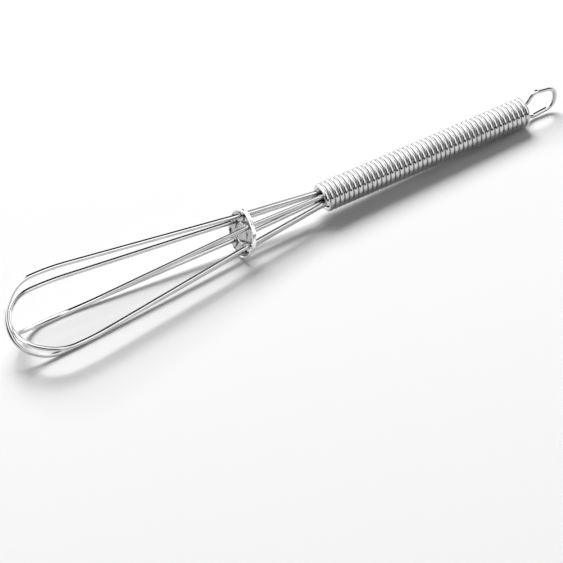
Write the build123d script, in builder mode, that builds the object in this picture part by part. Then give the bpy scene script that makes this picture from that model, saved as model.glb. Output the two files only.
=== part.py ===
import os
from math import atan2, cos, radians, sin, sqrt, tan

from build123d import *

os.makedirs("parts", exist_ok=True)

# A small balloon whisk, lying on a flat surface at Z = 0 with its cage towards -X.
# Lengths are in millimetres and angles in degrees. A station is a distance along the whisk's own
# axis from the tip of the cage. An angle round that axis starts towards -Y, and 90 is upwards.

# Cage of three wire loops
tine_wire = 1.25
leg_count = 6
arch_length = 12.0          # apex of a loop to its widest place
shoulder_length = 5.2       # straight stretch behind the widest place, along the axis
outer_half_width = 10.8
middle_half_width = 12.0
outer_lean = 1.3            # how far each loop stands off the axis within its own plane
middle_lean = 0.1
inner_offset = 0.4          # how far the inner loop's plane stands beside the axis
apex_gap = 0.1              # between the loops where they cross at the tip
outer_angle = 129.0
middle_angle = -11.0
inner_angle = 38.0
head_bend = 0.5             # of the cage and its legs against the handle, at the mouth of the coil
head_bend_angle = -23.0     # the side to which they lean towards the tip
round_share = sqrt(2) - 1   # corner of an octagon, as a share of its half width
run_share = 0.45            # part of a straight run that the bend at each end may use

# Spreader disc
disc_station = 72.2         # length of the cage
disc_diameter = 13.5
disc_thickness = 0.6
rim_width = 0.55
rim_height = 0.45
rim_rounding = 0.12
hole_inset = 1.75           # edge of the disc to the middle of a hole
hole_turn = -12.0           # angle of the middle loop's first hole
hole_clearance = 0.12
collar_wall = 0.85
collar_height = 0.35
disc_tilt = 14.1            # of the disc against the handle's axis
disc_tilt_angle = -80.0     # the side to which its rear face leans
disc_bend = 20.0            # bend of a leg where it passes the disc

# Handle coil
neck_length = 24.9          # disc to the mouth of the coil
coil_outside = 8.4
coil_wire = 1.08
coil_gap = 0.42             # between one turn and the next
coil_half_turns = 89
coil_start_angle = -1.0
leg_clearance = 0.38        # between the legs and the inside of the coil
leg_end_gap = 6.0           # inside the coil, between the legs' ends and the hanging loop's
mouth_bend = 12.0

# Hanging loop
hanger_wire = 1.25
hanger_angle = 82.0
hanger_reach = 18.0         # length of its legs inside the coil
eye_length = 10.9           # rear of the coil to the end of the eye
eye_half_width = 4.3
eye_lean = 1.1
eye_shoulder_share = 0.26   # first corner of the eye, as a share of its length
eye_corner_share = 0.75     # corner at the end of the eye, as a share of its half width
eye_bend = 3.0

# Values that follow
tine_radius = tine_wire / 2
coil_radius = (coil_outside - coil_wire) / 2
coil_pitch = coil_wire + coil_gap
coil_turns = coil_half_turns / 2
coil_bore_radius = coil_radius - coil_wire / 2
mouth_station = disc_station + neck_length
coil_first = mouth_station + coil_wire / 2
coil_end = mouth_station + coil_turns * coil_pitch + coil_wire
overall_length = coil_end + eye_length
leg_end = coil_end - hanger_reach - leg_end_gap
leg_ring_radius = coil_bore_radius - leg_clearance - tine_radius
hanger_ring_radius = coil_bore_radius - leg_clearance - hanger_wire / 2
eye_end = overall_length - hanger_wire / 2
eye_shoulder = coil_end + eye_shoulder_share * (eye_end - coil_end)
apex_step = tine_wire + apex_gap
outer_apex = tine_radius
middle_apex = outer_apex + apex_step
inner_apex = middle_apex + apex_step
hole_circle = disc_diameter - 2 * hole_inset
hole_step = 360 / leg_count

# The lower legs of the outer and the inner loop stand at one level, so the whisk rests on both
low_leg_drop = (outer_half_width - outer_lean) * sin(radians(outer_angle))
inner_side_drop = inner_offset * sin(radians(90 - inner_angle))
inner_half_width = (low_leg_drop - inner_side_drop) / sin(radians(inner_angle))

# Lying at rest: the low legs of the cage and the rear of the coil touch the surface
front_contact = outer_apex + arch_length + shoulder_length
front_drift = (mouth_station - front_contact) * tan(radians(head_bend))
front_drop = low_leg_drop + tine_radius - front_drift * sin(radians(head_bend_angle))
front_side = middle_lean * cos(radians(middle_angle)) + front_drift * cos(radians(head_bend_angle))
tilt = atan2(front_drop - coil_outside / 2, coil_end - front_contact)
along = Vector(cos(tilt), 0, -sin(tilt))
rise = Vector(sin(tilt), 0, cos(tilt))
near = Vector(0, -1, 0)
start_height = front_drop * cos(tilt) + front_contact * sin(tilt)
axis_start = Vector(-overall_length / 2 * cos(tilt), front_side, start_height)


def outward(angle):
    # The direction away from the axis at an angle round it
    return near * cos(radians(angle)) + rise * sin(radians(angle))


def place(station, angle=0.0, across=0.0, beside=0.0):
    # A point at a station: across along the angle, and beside it a quarter turn back
    drift = max(mouth_station - station, 0) * tan(radians(head_bend))
    middle = axis_start + along * station + outward(head_bend_angle) * drift
    return middle + outward(angle) * across + outward(angle - 90) * beside


# The disc lies askew on its six legs; this plane is halfway down its holes and faces the tip
disc_lean = radians(disc_tilt)
disc_rear = along * cos(disc_lean) + outward(disc_tilt_angle) * sin(disc_lean)
first_hole = outward(hole_turn) - disc_rear * outward(hole_turn).dot(disc_rear)
disc_middle = Plane(origin=place(disc_station), x_dir=first_hole, z_dir=disc_rear * -1)


def hole_place(number):
    # The middle of a hole, counted from the middle loop's first one
    turn = radians(number * hole_step)
    return disc_middle.from_local_coords((hole_circle / 2 * cos(turn), hole_circle / 2 * sin(turn)))


def widest_bend(before, corner, after):
    # The largest bend that the two runs at a corner leave room for
    run_in, run_out = corner - before, after - corner
    turn = radians(run_in.get_angle(run_out))
    return run_share * min(run_in.length, run_out.length) / tan(turn / 2)


def bent_wire(points, limits, diameter):
    # One round wire along straight runs joined by tangent arcs
    corners = zip(points, points[1:], points[2:])
    radii = [min(limit, widest_bend(*corner)) for limit, corner in zip(limits, corners)]
    with BuildLine() as route:
        FilletPolyline(*points, radius=radii)
    path = route.wire()
    with BuildSketch(Plane(origin=path @ 0, z_dir=path % 0)) as section:
        Circle(diameter / 2)
    sweep(sections=section.sketch, path=path)
    print("bends", [round(radius, 1) for radius in radii], "wire length", round(path.length, 2))
    print("section times length", round(section.sketch.area * path.length, 2))


def loop_leg(apex, half_width, side, lean, offset, angle, hole):
    # Corners of one leg, from inside the coil to the apex; side is 1 or -1
    number = hole if side > 0 else hole + leg_count // 2
    leg_angle = hole_turn + number * hole_step
    reach = lean + side * half_width
    return [
        place(leg_end, leg_angle, leg_ring_radius),
        place(mouth_station - tine_radius, leg_angle, leg_ring_radius),
        hole_place(number),
        place(apex + arch_length + shoulder_length, angle, reach, offset),
        place(apex + (1 - round_share) * arch_length, angle, reach, offset),
        place(apex, angle, round_share * reach, offset),
    ]


def cage_loop(apex, half_width, lean, offset, angle, hole):
    # Both legs of a loop and the arch that joins them, in one wire
    first = loop_leg(apex, half_width, 1, lean, offset, angle, hole)
    second = loop_leg(apex, half_width, -1, lean, offset, angle, hole)
    leg_limits = [mouth_bend, disc_bend] + [overall_length] * 3
    bent_wire(first + second[::-1], leg_limits + leg_limits[::-1], tine_wire)


# Three loops of the cage, nested at the tip
with BuildPart() as tine_loop_outer:
    cage_loop(outer_apex, outer_half_width, outer_lean, 0, outer_angle, hole=2)
tine_loop_outer.part.label = "tine_loop_outer"
export_step(tine_loop_outer.part, "parts/tine_loop_outer.step")

with BuildPart() as tine_loop_middle:
    cage_loop(middle_apex, middle_half_width, middle_lean, 0, middle_angle, hole=0)
tine_loop_middle.part.label = "tine_loop_middle"
export_step(tine_loop_middle.part, "parts/tine_loop_middle.step")

with BuildPart() as tine_loop_inner:
    cage_loop(inner_apex, inner_half_width, 0, inner_offset, inner_angle, hole=1)
tine_loop_inner.part.label = "tine_loop_inner"
export_step(tine_loop_inner.part, "parts/tine_loop_inner.step")

# Spreader disc: a stamped plate with a turned rim and a collar round each leg's hole
slant = atan2(hole_circle / 2 - leg_ring_radius, mouth_station - disc_station) + disc_lean
hole_depth = disc_thickness + collar_height
hole_diameter = tine_wire / cos(slant) + hole_depth * tan(slant) + 2 * hole_clearance
disc_back = disc_middle.offset(-hole_depth / 2)
disc_face = disc_back.offset(disc_thickness)
with BuildPart() as spreader_disc:
    with BuildSketch(disc_back):
        Circle(disc_diameter / 2)
    extrude(amount=disc_thickness)
    with BuildSketch(disc_face):
        Circle(disc_diameter / 2)
        Circle(disc_diameter / 2 - rim_width, mode=Mode.SUBTRACT)
    extrude(amount=rim_height)
    with BuildSketch(disc_face):
        with PolarLocations(hole_circle / 2, leg_count):
            Circle(hole_diameter / 2 + collar_wall)
        Circle(disc_diameter / 2 - rim_width / 2, mode=Mode.INTERSECT)
    extrude(amount=collar_height)
    rim_edges = spreader_disc.edges().filter_by(GeomType.CIRCLE).group_by(SortBy.RADIUS)[-1]
    fillet(rim_edges, rim_rounding)
    with Locations(disc_face.offset(collar_height)):
        with PolarLocations(hole_circle / 2, leg_count):
            Hole(hole_diameter / 2)
spreader_disc.part.label = "spreader_disc"
export_step(spreader_disc.part, "parts/spreader_disc.step")


# Handle coil: one wire wound in turns that nearly touch
def coil_place(turns):
    return place(coil_first + turns * coil_pitch, coil_start_angle + 360 * turns, coil_radius)


def coil_heading(turns):
    sideways = outward(coil_start_angle + 360 * turns + 90)
    return (sideways * radians(360) * coil_radius + along * coil_pitch).normalized()


def joined_arcs(start, start_heading, end, end_heading):
    # Two arcs that leave and arrive along the given headings and meet without a corner
    chord = end - start
    spread = 2 - 2 * start_heading.dot(end_heading)
    drift = 2 * chord.dot(start_heading + end_heading)
    handle = (sqrt(drift**2 + 4 * spread * chord.dot(chord)) - drift) / (2 * spread)
    first_corner = start + start_heading * handle
    second_corner = end - end_heading * handle
    middle = (first_corner + second_corner) * 0.5
    TangentArc(start, middle, tangent=start_heading)
    TangentArc(middle, end, tangent=second_corner - first_corner)


with BuildPart() as handle_coil:
    with BuildLine() as coil_route:
        coil_lead = coil_place(0) - coil_heading(0) * coil_wire
        coil_tail = coil_place(coil_turns) + coil_heading(coil_turns) * coil_wire
        Line(coil_lead, coil_place(0))
        for half in range(coil_half_turns):
            begin, finish = half / 2, (half + 1) / 2
            joined_arcs(coil_place(begin), coil_heading(begin), coil_place(finish), coil_heading(finish))
        Line(coil_place(coil_turns), coil_tail)
    coil_path = coil_route.wire()
    with BuildSketch(Plane(origin=coil_path @ 0, z_dir=coil_path % 0)):
        Circle(coil_wire / 2)
    sweep(path=coil_path)
handle_coil.part.label = "handle_coil"
export_step(handle_coil.part, "parts/handle_coil.step")

# Least gap of the coil to itself, from points along its wire
half_turn_steps = 18
steps = coil_half_turns * half_turn_steps
coil_points = [coil_path @ (step / steps) for step in range(steps + 1)]
gaps = []
for step, point in enumerate(coil_points):
    half_on, three_halves_on = step + half_turn_steps, step + 3 * half_turn_steps
    for other in coil_points[half_on:three_halves_on]:
        gaps.append((point - other).length - coil_wire)
print("least gap of the coil to itself", round(min(gaps), 3))

# Hanging loop: its legs are held in the rear of the coil
hanger_sides = []
for side in (1, -1):
    reach = eye_lean + side * eye_half_width
    hanger_sides.append([
        place(coil_end - hanger_reach, hanger_angle, side * hanger_ring_radius),
        place(coil_end + hanger_wire / 2, hanger_angle, side * hanger_ring_radius),
        place(eye_shoulder, hanger_angle, reach),
        place(eye_end, hanger_angle, eye_corner_share * reach),
    ])
with BuildPart() as hanging_loop:
    hanger_limits = [eye_bend, overall_length, overall_length]
    bent_wire(hanger_sides[0] + hanger_sides[1][::-1], hanger_limits + hanger_limits[::-1], hanger_wire)
hanging_loop.part.label = "hanging_loop"
export_step(hanging_loop.part, "parts/hanging_loop.step")

pieces = [tine_loop_outer, tine_loop_middle, tine_loop_inner, spreader_disc, handle_coil, hanging_loop]
whole = Compound(children=[piece.part for piece in pieces]).bounding_box()
print("overall length", round(overall_length, 2), "box from", whole.min, "to", whole.max)
for piece in pieces:
    lowest = piece.part.bounding_box().min.Z
    print(piece.part.label, "volume", round(piece.part.volume, 2), "lowest", round(lowest, 3))
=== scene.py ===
from math import ceil, cos, degrees, pi, radians, sin, sqrt, tan

import bpy
from mathutils import Matrix, Vector


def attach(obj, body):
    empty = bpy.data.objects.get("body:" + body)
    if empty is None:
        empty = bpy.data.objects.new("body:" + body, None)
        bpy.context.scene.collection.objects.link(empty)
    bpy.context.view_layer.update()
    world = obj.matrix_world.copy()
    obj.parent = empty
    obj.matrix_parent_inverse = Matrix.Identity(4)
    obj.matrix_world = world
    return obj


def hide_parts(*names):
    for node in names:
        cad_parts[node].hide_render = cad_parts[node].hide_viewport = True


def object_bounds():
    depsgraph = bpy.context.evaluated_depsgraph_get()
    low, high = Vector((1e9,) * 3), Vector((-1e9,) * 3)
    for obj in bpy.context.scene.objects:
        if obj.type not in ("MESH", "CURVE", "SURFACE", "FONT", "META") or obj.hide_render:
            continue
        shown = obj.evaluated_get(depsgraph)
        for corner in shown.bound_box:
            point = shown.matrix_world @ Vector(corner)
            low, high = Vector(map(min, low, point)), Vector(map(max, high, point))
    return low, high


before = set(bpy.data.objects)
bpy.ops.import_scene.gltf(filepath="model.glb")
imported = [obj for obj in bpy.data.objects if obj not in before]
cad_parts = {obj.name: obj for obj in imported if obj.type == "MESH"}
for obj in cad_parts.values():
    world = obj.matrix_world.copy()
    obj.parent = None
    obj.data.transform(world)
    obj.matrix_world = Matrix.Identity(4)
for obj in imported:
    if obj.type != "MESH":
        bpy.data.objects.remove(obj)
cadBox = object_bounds()
print("frame loaded with", len(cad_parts), "nodes")

# The handle's axis runs from the tip of the cage to the rear and dips on the way. A station is a
# distance along it from the tip, and an angle round it starts towards -Y, with 90 degrees upwards.
axis = {
    "start": Vector((-0.0878812, 0.000735, 0.008769)),
    "dip": radians(1.588),
    "mouth": 0.0971,                 # station where the coil begins
    "headBend": radians(0.5),        # lean of the cage and its legs against the handle
    "headBendAngle": radians(-23),
}
along = Vector((cos(axis["dip"]), 0, -sin(axis["dip"])))
rise = Vector((sin(axis["dip"]), 0, cos(axis["dip"])))
near = Vector((0, -1, 0))


def outward(angle):
    return near * cos(angle) + rise * sin(angle)


def place(station, angle=0, across=0, beside=0):
    drift = max(axis["mouth"] - station, 0) * tan(axis["headBend"])
    middle = axis["start"] + along * station + outward(axis["headBendAngle"]) * drift
    return middle + outward(angle) * across + outward(angle - pi / 2) * beside


# Spreader disc: its sizes come before the cage, because the legs run through its holes
disc = {
    "station": 0.0722,
    "lean": radians(14.1),           # it sits askew on its six legs
    "leanAngle": radians(-80),
    "radius": 0.00675,
    "sides": 96,
    "plate": 0.0006,                 # thickness
    "rimWidth": 0.00055,
    "rimHeight": 0.00045,            # over the plate
    "rimRound": 0.0002,
    "rimRoundSteps": 4,
    # colour of the painted highlight along the turned rim
    "paintedRimHighlight": (0.88, 0.88, 0.885),
    "ridgeRadius": 0.0031,           # a low round ridge is pressed into the middle of the plate
    "ridgeStep": 0.00013,
    "ridgeLifts": [0.00016, 0.00006, -0.00006, -0.00016],
    "holes": 6,
    "firstHole": radians(-12),
    "holeRing": 0.0050,              # middle of the disc to the middle of a hole
    "holeRadius": 0.00095,
    "holeSides": 32,
    "collarRadius": 0.0018,
    "collarHeight": 0.00035,
    "collarSides": 40,
    "edge": 0.00012,                 # rounding of the other edges
    "edgeSteps": 3,
    "edgeAngle": radians(50),
    "smoothAngle": 30,
    "tolerance": 0.00001,            # how near a point is to the rim's height to belong to it
}
discRear = along * cos(disc["lean"]) + outward(disc["leanAngle"]) * sin(disc["lean"])
discX = outward(disc["firstHole"])
discX = (discX - discRear * discX.dot(discRear)).normalized()
discY = discX.cross(discRear)
discTurn = Matrix((discX, discY, -discRear)).transposed().to_4x4()
discPlane = Matrix.Translation(place(disc["station"])) @ discTurn


def holeCentre(number):
    turn = number * 2 * pi / disc["holes"]
    return disc["holeRing"] * cos(turn), disc["holeRing"] * sin(turn)


def holePlace(number):
    return discPlane @ Vector((*holeCentre(number), 0))


# Modelling helpers
wires = {
    "sides": 20,
    "stepAngle": 3.0,                # degrees of a bend from one ring of faces to the next
    "fewestSteps": 4,
    "runShare": 0.45,                # most of the shorter run that a bend may take
}
mergeDistance = 1e-7


def deselectAll():
    if bpy.context.object and bpy.context.object.mode != "OBJECT":
        bpy.ops.object.mode_set(mode="OBJECT")
    bpy.ops.object.select_all(action="DESELECT")


def finishPiece(piece, name, smoothAngle=40):
    bpy.ops.object.mode_set(mode="EDIT")
    bpy.ops.mesh.select_all(action="SELECT")
    bpy.ops.mesh.remove_doubles(threshold=mergeDistance)
    bpy.ops.mesh.normals_make_consistent(inside=False)
    bpy.ops.object.mode_set(mode="OBJECT")
    bpy.ops.object.shade_smooth_by_angle(angle=radians(smoothAngle))
    piece.name = piece.data.name = name
    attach(piece, "root")
    print("modelled", name, "with", len(piece.data.polygons), "faces")


def bentWire(name, corners, bends, wire, stepAngle=wires["stepAngle"]):
    # A circle drawn out along each straight run and spun round each bend
    deselectAll()
    heading = (corners[1] - corners[0]).normalized()
    turned = heading.to_track_quat("Z", "Y").to_euler()
    bpy.ops.mesh.primitive_circle_add(
        vertices=wires["sides"], radius=wire / 2, location=corners[0], rotation=turned)
    piece = bpy.context.object
    bpy.ops.object.transform_apply(location=True, rotation=True, scale=True)
    bpy.ops.object.mode_set(mode="EDIT")
    bpy.ops.mesh.select_all(action="SELECT")
    here = corners[0]
    for before, corner, after, bend in zip(corners, corners[1:], corners[2:], bends):
        runIn, runOut = corner - before, after - corner
        turn = runIn.angle(runOut)
        room = wires["runShare"] * min(runIn.length, runOut.length)
        bend = min(bend, room / tan(turn / 2))
        arcStart = corner - runIn.normalized() * bend * tan(turn / 2)
        bpy.ops.mesh.extrude_region_move(TRANSFORM_OT_translate={"value": arcStart - here})
        hinge = runIn.cross(runOut).normalized()
        centre = arcStart + hinge.cross(runIn).normalized() * bend
        steps = max(wires["fewestSteps"], ceil(degrees(turn) / stepAngle))
        bpy.ops.mesh.spin(steps=steps, angle=turn, center=centre, axis=-hinge)
        here = corner + runOut.normalized() * bend * tan(turn / 2)
    bpy.ops.mesh.extrude_region_move(TRANSFORM_OT_translate={"value": corners[-1] - here})
    bpy.ops.mesh.select_all(action="SELECT")
    bpy.ops.mesh.fill_holes(sides=wires["sides"])
    finishPiece(piece, name)
    return piece


# Cage: three loops of wire, nested at the tip, whose six legs run back into the coil
legs = {
    "wire": 0.00125,
    "ring": 0.002115,                # how far the legs stand from the axis inside the coil
    "end": 0.14093,                  # station of their cut ends
    "mouthBend": 0.012,
    "discBend": 0.020,
    "wide": 1.0,                     # a bend as large as its runs allow
    "arch": 0.0120,                  # length of the round tip
    "shoulder": 0.0052,              # from the widest place to the start of the straight leg
    "roundShare": sqrt(2) - 1,       # makes the tip's two bends meet as a quarter circle each
}
# Each loop has its own plane through the axis, and leans and stands off it by a little
loops = {
    "tineLoopOuter": {
        "node": "tine_loop_outer", "apex": 0.000625, "halfWidth": 0.0108, "lean": 0.0013,
        "offset": 0, "angle": radians(129), "hole": 2,
    },
    "tineLoopMiddle": {
        "node": "tine_loop_middle", "apex": 0.001975, "halfWidth": 0.0120, "lean": 0.0001,
        "offset": 0, "angle": radians(-11), "hole": 0,
    },
    "tineLoopInner": {
        "node": "tine_loop_inner", "apex": 0.003325, "halfWidth": 0.01148, "lean": 0,
        "offset": 0.0004, "angle": radians(38), "hole": 1,
    },
}


def legCorners(loop, side):
    number = loop["hole"] if side > 0 else loop["hole"] + disc["holes"] // 2
    legAngle = disc["firstHole"] + number * 2 * pi / disc["holes"]
    reach = loop["lean"] + side * loop["halfWidth"]
    widest = loop["apex"] + legs["arch"]
    return [
        place(legs["end"], legAngle, legs["ring"]),
        place(axis["mouth"] - legs["wire"] / 2, legAngle, legs["ring"]),
        holePlace(number),
        place(widest + legs["shoulder"], loop["angle"], reach, loop["offset"]),
        place(widest - legs["roundShare"] * legs["arch"], loop["angle"], reach, loop["offset"]),
        place(loop["apex"], loop["angle"], legs["roundShare"] * reach, loop["offset"]),
    ]


for name, loop in loops.items():
    corners = legCorners(loop, 1) + legCorners(loop, -1)[::-1]
    bends = [legs["mouthBend"], legs["discBend"]] + [legs["wide"]] * 3
    piece = bentWire(name, corners, bends + bends[::-1], legs["wire"])
    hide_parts(loop["node"])


# Hanging loop: a short wire bent into an eye, gripped in the rear of the coil
hanger = {
    "wire": 0.00125,
    "ring": 0.002115,
    "angle": radians(82),
    "coilEnd": 0.16493,              # station of the coil's rear
    "reach": 0.018,                  # how far the wire goes into the coil
    "end": 0.175205,                 # station of the eye's far side, at the middle of the wire
    "halfWidth": 0.0043,
    "lean": 0.0011,
    "shoulderShare": 0.26,           # the eye is full width at this share of its length
    "cornerShare": 0.75,             # width left at the far side
    "neckBend": 0.003,
    "wide": 1.0,
    "stepAngle": 4.0,
}


def hangerCorners(side):
    reach = hanger["lean"] + side * hanger["halfWidth"]
    shoulder = hanger["coilEnd"] + hanger["shoulderShare"] * (hanger["end"] - hanger["coilEnd"])
    return [
        place(hanger["coilEnd"] - hanger["reach"], hanger["angle"], side * hanger["ring"]),
        place(hanger["coilEnd"] + hanger["wire"] / 2, hanger["angle"], side * hanger["ring"]),
        place(shoulder, hanger["angle"], reach),
        place(hanger["end"], hanger["angle"], hanger["cornerShare"] * reach),
    ]


hangerBends = [hanger["neckBend"], hanger["wide"], hanger["wide"]]
hangingLoop = bentWire(
    "hangingLoop", hangerCorners(1) + hangerCorners(-1)[::-1], hangerBends + hangerBends[::-1],
    hanger["wire"], hanger["stepAngle"])
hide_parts("hanging_loop")


# Handle: one thick wire wound close
coil = {
    "outside": 0.0042,               # outer radius
    "wire": 0.00145,
    "pitch": 0.0015,
    "halfTurns": 89,
    "first": 0.09764,                # station of the first turn
    "startAngle": radians(-1),
    "sides": 20,
    "steps": 28,                     # in each half turn
    "endRound": 0.0003,
    "endRoundSteps": 3,
}


def makeCoil():
    deselectAll()
    radius = coil["outside"] - coil["wire"] / 2
    bpy.ops.mesh.primitive_circle_add(
        vertices=coil["sides"], radius=coil["wire"] / 2, location=(radius, 0, 0),
        rotation=(pi / 2, 0, 0))
    piece = bpy.context.object
    bpy.ops.object.transform_apply(location=True, rotation=True, scale=True)
    winding = piece.modifiers.new("winding", "SCREW")
    winding.axis = "Z"
    winding.angle = pi
    winding.screw_offset = -coil["pitch"] / 2
    winding.iterations = coil["halfTurns"]
    winding.steps = winding.render_steps = coil["steps"]
    bpy.ops.object.modifier_apply(modifier="winding")
    bpy.ops.object.mode_set(mode="EDIT")
    bpy.ops.mesh.select_all(action="SELECT")
    bpy.ops.mesh.fill_holes(sides=coil["sides"])
    bpy.ops.object.mode_set(mode="OBJECT")
    for polygon in piece.data.polygons:
        polygon.select = len(polygon.vertices) > 4         # the two cut ends
    bpy.ops.object.mode_set(mode="EDIT")
    bpy.ops.mesh.select_mode(type="FACE")
    bpy.ops.mesh.region_to_loop()
    bpy.ops.mesh.bevel(offset=coil["endRound"], segments=coil["endRoundSteps"], affect="EDGES")
    bpy.ops.mesh.select_mode(type="VERT")
    bpy.ops.object.mode_set(mode="OBJECT")
    first = outward(coil["startAngle"])
    turned = Matrix((first, outward(coil["startAngle"] + pi / 2), -along)).transposed().to_4x4()
    piece.matrix_world = Matrix.Translation(place(coil["first"])) @ turned
    bpy.ops.object.transform_apply(location=True, rotation=True, scale=True)
    finishPiece(piece, "handleCoil")
    return piece


handleCoil = makeCoil()
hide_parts("handle_coil")


# Spreader disc: a stamped plate with a turned rim, and a collar round each hole

def cylinderAt(radius, low, high, centre, sides):
    bpy.ops.object.select_all(action="DESELECT")
    bpy.ops.mesh.primitive_circle_add(
        vertices=sides, radius=radius, fill_type="NGON", location=(*centre, low))
    piece = bpy.context.object
    bpy.ops.object.transform_apply(location=True, rotation=True, scale=True)
    bpy.ops.object.mode_set(mode="EDIT")
    bpy.ops.mesh.select_all(action="SELECT")
    bpy.ops.mesh.extrude_region_move(TRANSFORM_OT_translate={"value": (0, 0, high - low)})
    return piece


def combine(piece, tool, way):
    bpy.ops.object.mode_set(mode="EDIT")
    bpy.ops.mesh.select_all(action="SELECT")
    bpy.ops.mesh.normals_make_consistent(inside=False)
    bpy.ops.object.mode_set(mode="OBJECT")
    bpy.ops.object.select_all(action="DESELECT")
    piece.select_set(True)
    bpy.context.view_layer.objects.active = piece
    cut = piece.modifiers.new("cut", "BOOLEAN")
    cut.object = tool
    cut.operation = way
    cut.solver = "EXACT"
    bpy.ops.object.modifier_apply(modifier="cut")
    bpy.data.objects.remove(tool)


def makeDisc():
    deselectAll()
    depth = disc["plate"] + disc["collarHeight"]
    back = -depth / 2
    rimTop = back + disc["plate"] + disc["rimHeight"]
    piece = cylinderAt(disc["radius"], back, rimTop, (0, 0), disc["sides"])
    bpy.ops.mesh.inset(thickness=disc["rimWidth"])
    bpy.ops.mesh.extrude_region_move(TRANSFORM_OT_translate={"value": (0, 0, -disc["rimHeight"])})
    bpy.ops.mesh.inset(thickness=disc["radius"] - disc["rimWidth"] - disc["ridgeRadius"])
    for lift in disc["ridgeLifts"]:
        bpy.ops.mesh.inset(thickness=disc["ridgeStep"])
        bpy.ops.transform.translate(value=(0, 0, lift))
    bpy.ops.mesh.select_all(action="DESELECT")
    bpy.ops.object.mode_set(mode="OBJECT")
    for edge in piece.data.edges:
        ends = [piece.data.vertices[number].co for number in edge.vertices]
        level = all(abs(end.z - rimTop) < disc["tolerance"] for end in ends)
        edge.select = level and abs(ends[0].length - ends[1].length) < disc["tolerance"]
    bpy.ops.object.mode_set(mode="EDIT")
    bpy.ops.mesh.select_mode(type="EDGE")
    bpy.ops.mesh.bevel(offset=disc["rimRound"], segments=disc["rimRoundSteps"], affect="EDGES")
    bpy.ops.mesh.select_mode(type="VERT")
    bpy.ops.mesh.select_all(action="SELECT")
    bpy.ops.mesh.normals_make_consistent(inside=False)
    bpy.ops.object.mode_set(mode="OBJECT")
    centres = [holeCentre(number) for number in range(disc["holes"])]
    for centre in centres:
        low, high = back + disc["plate"] / 2, back + depth
        collar = cylinderAt(disc["collarRadius"], low, high, centre, disc["collarSides"])
        combine(piece, collar, "UNION")
    for centre in centres:
        low, high = back - depth, back + 2 * depth
        hole = cylinderAt(disc["holeRadius"], low, high, centre, disc["holeSides"])
        combine(piece, hole, "DIFFERENCE")
    rounding = piece.modifiers.new("rounding", "BEVEL")
    rounding.width = disc["edge"]
    rounding.segments = disc["edgeSteps"]
    rounding.limit_method = "ANGLE"
    rounding.angle_limit = disc["edgeAngle"]
    bpy.ops.object.modifier_apply(modifier="rounding")
    piece.matrix_world = discPlane
    bpy.ops.object.transform_apply(location=True, rotation=True, scale=True)
    finishPiece(piece, "spreaderDisc", disc["smoothAngle"])
    return piece


spreaderDisc = makeDisc()
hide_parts("spreader_disc")


# Finish: polished chrome, with the faint lines of drawn wire and a few hazy patches
drawn = {
    "stretch": (0.03, 1.0, 1.0),     # the lines run along the whisk
    "lineDetail": 3.0,
    "patchDetail": 4.0,
    "patchRoughness": 0.6,
    "patchStart": 0.45,
    "patchFull": 0.75,
    "bumpStrength": 0.2,
}


def makeDrawnMetal():
    group = bpy.data.node_groups.new("drawnMetal", "ShaderNodeTree")
    sockets = group.interface
    sockets.new_socket(name="Place", in_out="INPUT", socket_type="NodeSocketVector")
    for name in ("Lines", "Patches", "Polish", "Haze"):
        sockets.new_socket(name=name, in_out="INPUT", socket_type="NodeSocketFloat")
    for name in ("Height", "Roughness", "Tone"):
        sockets.new_socket(name=name, in_out="OUTPUT", socket_type="NodeSocketFloat")
    nodes, links = group.nodes, group.links
    given = nodes.new("NodeGroupInput")
    result = nodes.new("NodeGroupOutput")
    stretch = nodes.new("ShaderNodeVectorMath")
    stretch.operation = "MULTIPLY"
    stretch.inputs[1].default_value = drawn["stretch"]
    lines = nodes.new("ShaderNodeTexNoise")
    lines.inputs["Detail"].default_value = drawn["lineDetail"]
    patches = nodes.new("ShaderNodeTexNoise")
    patches.inputs["Detail"].default_value = drawn["patchDetail"]
    patches.inputs["Roughness"].default_value = drawn["patchRoughness"]
    spread = nodes.new("ShaderNodeMapRange")
    spread.inputs["From Min"].default_value = drawn["patchStart"]
    spread.inputs["From Max"].default_value = drawn["patchFull"]
    rough = nodes.new("ShaderNodeMath")
    rough.operation = "MULTIPLY_ADD"
    links.new(given.outputs["Place"], stretch.inputs[0])
    links.new(stretch.outputs[0], lines.inputs["Vector"])
    links.new(given.outputs["Lines"], lines.inputs["Scale"])
    links.new(given.outputs["Place"], patches.inputs["Vector"])
    links.new(given.outputs["Patches"], patches.inputs["Scale"])
    links.new(patches.outputs["Fac"], spread.inputs["Value"])
    links.new(spread.outputs["Result"], rough.inputs[0])
    links.new(given.outputs["Haze"], rough.inputs[1])
    links.new(given.outputs["Polish"], rough.inputs[2])
    links.new(lines.outputs["Fac"], result.inputs["Height"])
    links.new(rough.outputs[0], result.inputs["Roughness"])
    links.new(spread.outputs["Result"], result.inputs["Tone"])
    return group


drawnMetal = makeDrawnMetal()


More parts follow.
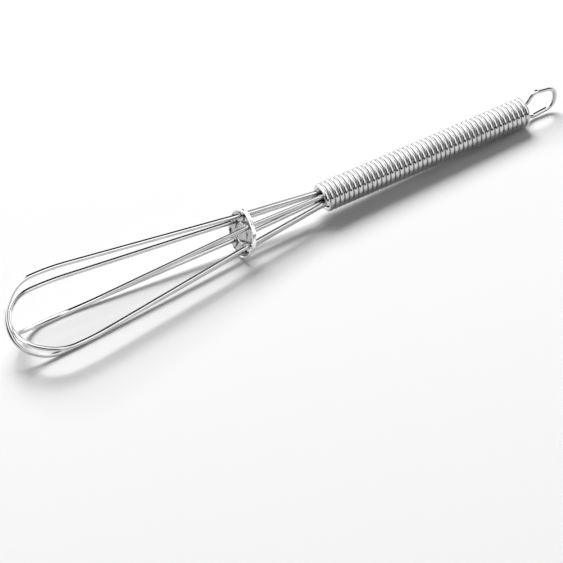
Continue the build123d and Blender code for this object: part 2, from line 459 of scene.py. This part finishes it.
def makeChrome(name, bright, dull, lines, patches, polish, haze, depth):
    material = bpy.data.materials.new(name)
    material.use_nodes = True
    nodes, links = material.node_tree.nodes, material.node_tree.links
    shader = nodes["Principled BSDF"]
    shader.inputs["Metallic"].default_value = 1.0
    where = nodes.new("ShaderNodeTexCoord")
    metal = nodes.new("ShaderNodeGroup")
    metal.node_tree = drawnMetal
    metal.inputs["Lines"].default_value = lines
    metal.inputs["Patches"].default_value = patches
    metal.inputs["Polish"].default_value = polish
    metal.inputs["Haze"].default_value = haze
    tint = nodes.new("ShaderNodeMix")
    tint.data_type = "RGBA"
    tint.inputs["A"].default_value = (*bright, 1)
    tint.inputs["B"].default_value = (*dull, 1)
    bump = nodes.new("ShaderNodeBump")
    bump.inputs["Strength"].default_value = drawn["bumpStrength"]
    bump.inputs["Distance"].default_value = depth
    links.new(where.outputs["Object"], metal.inputs["Place"])
    links.new(metal.outputs["Tone"], tint.inputs["Factor"])
    links.new(tint.outputs["Result"], shader.inputs["Base Color"])
    links.new(metal.outputs["Roughness"], shader.inputs["Roughness"])
    links.new(metal.outputs["Height"], bump.inputs["Height"])
    links.new(bump.outputs["Normal"], shader.inputs["Normal"])
    return material


# Bright and dull are the two tones of the patches, and depth is the height of the drawn lines
finishes = {
    "cageChrome": {
        "pieces": list(loops), "bright": (0.63, 0.63, 0.635), "dull": (0.55, 0.55, 0.555),
        "lines": 3000.0, "patches": 180.0, "polish": 0.05, "haze": 0.08, "depth": 0.000002,
    },
    "coilChrome": {
        "pieces": ["handleCoil"], "bright": (0.64, 0.64, 0.645), "dull": (0.56, 0.56, 0.565),
        "lines": 2500.0, "patches": 140.0, "polish": 0.12, "haze": 0.10, "depth": 0.000003,
    },
    # The hanging loop's chrome is painted darker than the cage's: painted shade for the darker
    # look of the eye in this light
    "hangerChrome": {
        "pieces": ["hangingLoop"], "bright": (0.56, 0.56, 0.565), "dull": (0.48, 0.48, 0.485),
        "lines": 3000.0, "patches": 180.0, "polish": 0.05, "haze": 0.08, "depth": 0.000002,
    },
    # The disc's chrome is painted darker than the wires' chrome: painted shade for the mid-grey
    # the plate shows in this light
    "discChrome": {
        "pieces": ["spreaderDisc"], "bright": (0.44, 0.44, 0.445), "dull": (0.34, 0.34, 0.345),
        "lines": 1500.0, "patches": 300.0, "polish": 0.10, "haze": 0.16, "depth": 0.00002,
    },
}
for name, finish in finishes.items():
    values = {key: value for key, value in finish.items() if key != "pieces"}
    chrome = makeChrome(name, **values)
    for pieceName in finish["pieces"]:
        piece = bpy.data.objects[pieceName]
        piece.data.materials.clear()
        piece.data.materials.append(chrome)


def paintRimHighlight():
    # The turned rim's base colour is painted brighter than the stamped plate inside it: a painted
    # highlight along the rim
    material = bpy.data.materials["discChrome"]
    nodes, links = material.node_tree.nodes, material.node_tree.links
    shader = nodes["Principled BSDF"]
    plate = shader.inputs["Base Color"].links[0].from_socket
    where = nodes.new("ShaderNodeTexCoord")
    inner = nodes.new("ShaderNodeVectorMath")
    inner.operation = "SUBTRACT"
    inner.inputs[1].default_value = discPlane.translation
    turned = nodes.new("ShaderNodeVectorMath")
    turned.operation = "CROSS_PRODUCT"
    turned.inputs[1].default_value = discRear
    fromAxis = nodes.new("ShaderNodeVectorMath")
    fromAxis.operation = "LENGTH"
    # mask of the rim, where the painted highlight goes
    rim = nodes.new("ShaderNodeMapRange")
    rim.inputs["From Min"].default_value = disc["radius"] - disc["rimWidth"] - disc["edge"]
    rim.inputs["From Max"].default_value = disc["radius"] - disc["rimWidth"]
    tint = nodes.new("ShaderNodeMix")
    tint.data_type = "RGBA"
    tint.inputs["B"].default_value = (*disc["paintedRimHighlight"], 1)
    links.new(where.outputs["Object"], inner.inputs[0])
    links.new(inner.outputs["Vector"], turned.inputs[0])
    links.new(turned.outputs["Vector"], fromAxis.inputs[0])
    links.new(fromAxis.outputs["Value"], rim.inputs["Value"])
    links.new(rim.outputs["Result"], tint.inputs["Factor"])
    links.new(plate, tint.inputs["A"])
    links.new(tint.outputs["Result"], shader.inputs["Base Color"])


paintRimHighlight()
print("finishes made")


# Studio: a white floor, a soft lamp high behind the whisk, an even fill, and a room that only the
# metal reflects: white, with dark corners in front, dark ends and a dark strip of ceiling
studio = {
    "floorSize": 6.0,
    "floorColour": (0.94, 0.94, 0.94),
    "floorRoughness": 0.7,
    "floorGloss": 0.2,
    "keyPlace": (0.80, 2.05, 2.30),
    "keySize": 2.10,
    "keyPower": 133.0,
    "fill": 0.17,                    # brightness of the room as a light
    "whiskSide": 0.39,               # +X part of the directions that the straight wires reflect
    "stripHalf": (0.12, 0.21),       # each wall fades into the next between these two widths
    "panelHalf": (0.50, 0.76),
    "roomMiddle": 0.06,
    "roomHalf": (0.44, 0.68),
    "backdrop": (1.0, 1.0, 1.0),
}
# Places and brightness, from the front horizon over the top to the horizon behind the whisk
roomStops = {
    "strip": [
        (0.00, 0.02), (0.06, 0.02), (0.09, 1.80), (0.36, 1.80),
        (0.41, 0.10), (0.45, 0.01), (0.94, 0.01), (0.99, 0.30),
    ],
    "panel": [(0.00, 0.02), (0.06, 0.02), (0.10, 1.40), (0.44, 1.50), (0.58, 2.40), (1.00, 2.40)],
    "corner": [(0.00, 0.01), (0.24, 0.01), (0.38, 1.20), (0.52, 2.40), (1.00, 2.40)],
    "end": [(0.00, 0.01), (0.32, 0.01), (0.46, 0.70), (0.58, 1.80), (1.00, 1.80)],
}


def makeFloor():
    deselectAll()
    bpy.ops.mesh.primitive_plane_add(size=studio["floorSize"], location=(0, 0, cadBox[0][2]))
    floor = bpy.context.object
    floor.name = "floor"
    material = bpy.data.materials.new("floorWhite")
    material.use_nodes = True
    shader = material.node_tree.nodes["Principled BSDF"]
    shader.inputs["Base Color"].default_value = (*studio["floorColour"], 1)
    shader.inputs["Roughness"].default_value = studio["floorRoughness"]
    shader.inputs["Specular IOR Level"].default_value = studio["floorGloss"]
    floor.data.materials.append(material)


def makeLight():
    lamp = bpy.data.lights.new("keyLight", "AREA")
    lamp.shape = "DISK"
    lamp.size = studio["keySize"]
    lamp.energy = studio["keyPower"]
    key = bpy.data.objects.new("keyLight", lamp)
    bpy.context.scene.collection.objects.link(key)
    key.visible_glossy = False       # the metal shows the room's panels, not the lamp
    key.location = studio["keyPlace"]
    key.rotation_euler = (-Vector(studio["keyPlace"])).to_track_quat("-Z", "Y").to_euler()


def makeRoom():
    world = bpy.data.worlds.new("room")
    bpy.context.scene.world = world
    world.use_nodes = True
    nodes, links = world.node_tree.nodes, world.node_tree.links
    background = nodes["Background"]
    where = nodes.new("ShaderNodeTexCoord")
    split = nodes.new("ShaderNodeSeparateXYZ")
    links.new(where.outputs["Generated"], split.inputs[0])

    def calculate(operation, first, second=0.0):
        node = nodes.new("ShaderNodeMath")
        node.operation = operation
        for socket, value in zip(node.inputs, (first, second)):
            if isinstance(value, float):
                socket.default_value = value
            else:
                links.new(value, socket)
        return node.outputs[0]

    front = calculate("MULTIPLY", split.outputs["Y"], -1.0)
    turn = calculate("ARCTAN2", split.outputs["Z"], front)
    share = calculate("DIVIDE", turn, pi)
    beside = calculate("SUBTRACT", split.outputs["X"], studio["whiskSide"])
    beside = calculate("ABSOLUTE", beside)
    outwards = calculate("SUBTRACT", split.outputs["X"], studio["roomMiddle"])
    outwards = calculate("ABSOLUTE", outwards)

    def wall(name):
        ramp = nodes.new("ShaderNodeValToRGB")
        elements = ramp.color_ramp.elements
        for number, (position, value) in enumerate(roomStops[name]):
            stop = elements[number] if number < 2 else elements.new(position)
            stop.position = position
            stop.color = (value, value, value, 1)
        links.new(share, ramp.inputs["Fac"])
        return ramp.outputs["Color"]

    def join(inner, outer, measure, limits):
        blend = nodes.new("ShaderNodeMapRange")
        blend.interpolation_type = "SMOOTHSTEP"
        blend.inputs["From Min"].default_value, blend.inputs["From Max"].default_value = limits
        links.new(measure, blend.inputs["Value"])
        mix = nodes.new("ShaderNodeMix")
        mix.data_type = "RGBA"
        links.new(blend.outputs["Result"], mix.inputs["Factor"])
        links.new(inner, mix.inputs["A"])
        links.new(outer, mix.inputs["B"])
        return mix.outputs["Result"]

    walls = join(wall("strip"), wall("panel"), beside, studio["stripHalf"])
    walls = join(walls, wall("corner"), beside, studio["panelHalf"])
    walls = join(walls, wall("end"), outwards, studio["roomHalf"])
    path = nodes.new("ShaderNodeLightPath")
    light = nodes.new("ShaderNodeMix")
    light.data_type = "RGBA"
    light.inputs["A"].default_value = (*[studio["fill"]] * 3, 1)
    links.new(path.outputs["Is Glossy Ray"], light.inputs["Factor"])
    links.new(walls, light.inputs["B"])
    seen = nodes.new("ShaderNodeMix")
    seen.data_type = "RGBA"
    seen.inputs["B"].default_value = (*studio["backdrop"], 1)
    links.new(path.outputs["Is Camera Ray"], seen.inputs["Factor"])
    links.new(light.outputs["Result"], seen.inputs["A"])
    links.new(seen.outputs["Result"], background.inputs["Color"])


makeFloor()
makeLight()
makeRoom()
print("floor, lamp and room made")

# Camera: aims at a point of the floor from the front left
view = {
    "aim": Vector((-0.014937, -0.016846, 0)),
    "distance": 0.98396,
    "azimuth": radians(27.398),
    "elevation": radians(36.331),
    "roll": radians(-7.937),
    "lens": 236.04,
    "sensor": 36.0,
    "nearest": 0.01,
    "furthest": 20.0,
}
lensData = bpy.data.cameras.new("camera")
lensData.lens = view["lens"]
lensData.sensor_width = lensData.sensor_height = view["sensor"]
lensData.sensor_fit = "HORIZONTAL"
lensData.clip_start = view["nearest"]
lensData.clip_end = view["furthest"]
camera = bpy.data.objects.new("camera", lensData)
bpy.context.scene.collection.objects.link(camera)
turned = Matrix.Rotation(-view["azimuth"], 4, "Z")
turned = turned @ Matrix.Rotation(pi / 2 - view["elevation"], 4, "X")
turned = turned @ Matrix.Rotation(view["roll"], 4, "Z")
backward = (turned @ Vector((0, 0, 1, 0))).to_3d()
camera.matrix_world = Matrix.Translation(view["aim"] + backward * view["distance"]) @ turned
bpy.context.scene.camera = camera
bpy.context.scene.view_settings.view_transform = "Standard"
print("camera at", [round(value, 4) for value in camera.matrix_world.translation])
